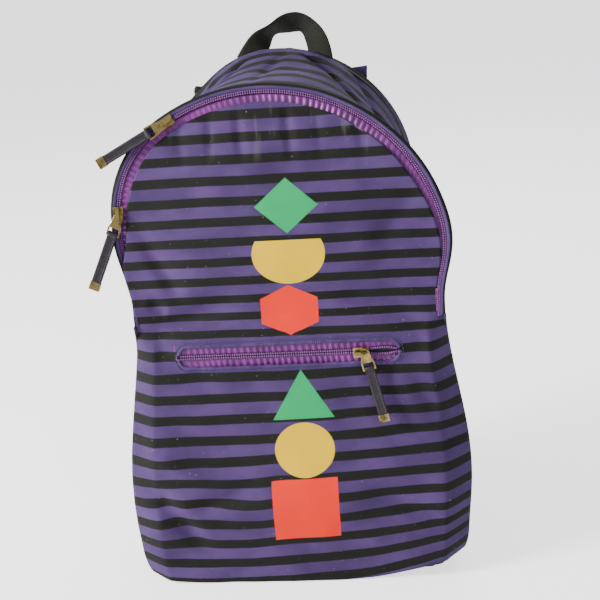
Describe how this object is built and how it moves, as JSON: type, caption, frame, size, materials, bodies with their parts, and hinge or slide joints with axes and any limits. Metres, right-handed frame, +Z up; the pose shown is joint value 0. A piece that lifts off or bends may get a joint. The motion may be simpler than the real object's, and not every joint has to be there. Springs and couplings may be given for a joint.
{
  "type": "daypack",
  "caption": "Soft daypack with a dome-shaped zipped front flap, a zipped front pocket, a grab handle on top and padded shoulder straps with ladder locks, in striped canvas.",
  "frame": {"origin": "on the underside of the base panel, under the middle of the bag", "axes": "+Z up, towards the grab handle; the dome-shaped front faces -Y; the padded back and the straps face +Y; +X is on the right as seen from the front"},
  "size_m": [0.3061, 0.1881, 0.4846],
  "materials": {
    "striped_canvas": "matt woven cotton canvas, printed with dark stripes",
    "lining": "thin plain-woven polyester",
    "mesh": "padded air mesh",
    "foam": "soft closed-cell foam",
    "binding": "woven binding tape",
    "zip_tape": "satin woven tape",
    "zip_coil": "nylon coil",
    "brass": "antique brass, lightly worn",
    "leather": "dark smooth leather",
    "webbing": "ribbed webbing",
    "black_plastic": "moulded acetal"
  },
  "bodies": {
    "bag": {"front_lower": "striped_canvas", "gusset": "striped_canvas", "left_side_panel": "striped_canvas", "right_side_panel": "striped_canvas", "base_panel": "striped_canvas", "back_inner_fabric": "lining", "back_foam_pad": "foam", "back_outer_mesh": "mesh", "back_seam_binding": "binding", "main_zip_outer_tape": "zip_tape", "main_zip_outer_coil": "zip_coil", "pocket_zip_upper_tape": "zip_tape", "pocket_zip_upper_coil": "zip_coil", "pocket_zip_lower_tape": "zip_tape", "pocket_zip_lower_coil": "zip_coil", "pocket_pouch": "lining", "left_strap_root": "striped_canvas", "left_lower_webbing": "webbing", "left_corner_tab": "striped_canvas", "right_strap_root": "striped_canvas", "right_lower_webbing": "webbing", "right_corner_tab": "striped_canvas"},
    "front_flap": {"front_flap": "striped_canvas", "main_zip_inner_tape": "zip_tape", "main_zip_inner_coil": "zip_coil"},
    "main_upper_slider": {"main_upper_slider": "brass"},
    "main_upper_link": {"main_upper_pull_link": "brass"},
    "main_upper_tab": {"main_upper_pull_tab": "leather", "main_upper_pull_tip": "brass"},
    "main_lower_slider": {"main_lower_slider": "brass"},
    "main_lower_link": {"main_lower_pull_link": "brass"},
    "main_lower_tab": {"main_lower_pull_tab": "leather", "main_lower_pull_tip": "brass"},
    "pocket_slider": {"pocket_slider": "brass"},
    "pocket_link": {"pocket_pull_link": "brass"},
    "pocket_tab": {"pocket_pull_tab": "leather", "pocket_pull_tip": "brass"},
    "grab_handle": {"grab_handle": "webbing"},
    "left_strap": {"left_strap_cover": "striped_canvas", "left_strap_foam": "foam", "left_lock_loop": "webbing"},
    "left_ladder_lock": {"left_ladder_lock": "black_plastic"},
    "right_strap": {"right_strap_cover": "striped_canvas", "right_strap_foam": "foam", "right_lock_loop": "webbing"},
    "right_ladder_lock": {"right_ladder_lock": "black_plastic"}
  },
  "joints": [
    {"name": "flap_hinge", "type": "hinge", "parent": "bag", "child": "front_flap", "pos_m": [0, -0.0764, 0.24], "axis": [1, 0, 0], "range_deg": [0, 120], "deforming": ["main_zip_inner_tape", "main_zip_inner_coil"]},
    {"name": "main_upper_slider_travel", "type": "hinge", "parent": "bag", "child": "main_upper_slider", "pos_m": [-0.019, -0.06583, 0.278], "axis": [0, -0.9744, 0.225], "range_deg": [-116, 2]},
    {"name": "main_upper_link_swing", "type": "hinge", "parent": "main_upper_slider", "child": "main_upper_link", "pos_m": [-0.09856, -0.0416, 0.40296], "axis": [0, -0.9744, 0.225], "range_deg": [-70, 60]},
    {"name": "main_upper_tab_lift", "type": "hinge", "parent": "main_upper_link", "child": "main_upper_tab", "pos_m": [-0.11106, -0.04311, 0.3964], "axis": [-0.4741, 0.1981, 0.8579], "range_deg": [0, 100]},
    {"name": "main_lower_slider_travel", "type": "slide", "parent": "bag", "child": "main_lower_slider", "axis": [0, -0.225, -0.9744], "range_m": [0, 0.055]},
    {"name": "main_lower_link_swing", "type": "hinge", "parent": "main_lower_slider", "child": "main_lower_link", "pos_m": [-0.14, -0.05833, 0.33046], "axis": [0, -0.9744, 0.225], "range_deg": [-50, 45]},
    {"name": "main_lower_tab_lift", "type": "hinge", "parent": "main_lower_link", "child": "main_lower_tab", "pos_m": [-0.14543, -0.06128, 0.31768], "axis": [-0.9239, 0.0861, 0.3729], "range_deg": [0, 100]},
    {"name": "pocket_slider_travel", "type": "slide", "parent": "bag", "child": "pocket_slider", "axis": [1, 0, 0], "range_m": [-0.14, 0.02]},
    {"name": "pocket_link_swing", "type": "hinge", "parent": "pocket_slider", "child": "pocket_link", "pos_m": [0.0572, -0.0791, 0.212], "axis": [0, -1, 0], "range_deg": [-40, 60]},
    {"name": "pocket_tab_lift", "type": "hinge", "parent": "pocket_link", "child": "pocket_tab", "pos_m": [0.06039, -0.0791, 0.19816], "axis": [-0.9744, 0, -0.225], "range_deg": [0, 100]},
    {"name": "grab_handle_fold", "type": "hinge", "parent": "bag", "child": "grab_handle", "pos_m": [0, 0.0615, 0.448], "axis": [1, 0, 0], "range_deg": [-40, 45], "stiffness_Nm_per_rad": 0.02},
    {"name": "left_strap_swing", "type": "hinge", "parent": "bag", "child": "left_strap", "pos_m": [-0.06283, 0.0664, 0.40446], "axis": [0.989, 0, -0.1478], "range_deg": [0, 15], "deforming": ["left_lower_webbing"]},
    {"name": "left_ladder_lock_swing", "type": "hinge", "parent": "left_strap", "child": "left_ladder_lock", "pos_m": [-0.09602, 0.09404, 0.18235], "axis": [0.989, 0, -0.1478], "range_deg": [-12, 20]},
    {"name": "right_strap_swing", "type": "hinge", "parent": "bag", "child": "right_strap", "pos_m": [0.03883, 0.0664, 0.40446], "axis": [0.989, 0, 0.1478], "range_deg": [0, 15], "deforming": ["right_lower_webbing"]},
    {"name": "right_ladder_lock_swing", "type": "hinge", "parent": "right_strap", "child": "right_ladder_lock", "pos_m": [0.07202, 0.09404, 0.18235], "axis": [0.989, 0, 0.1478], "range_deg": [-12, 20]}
  ]
}
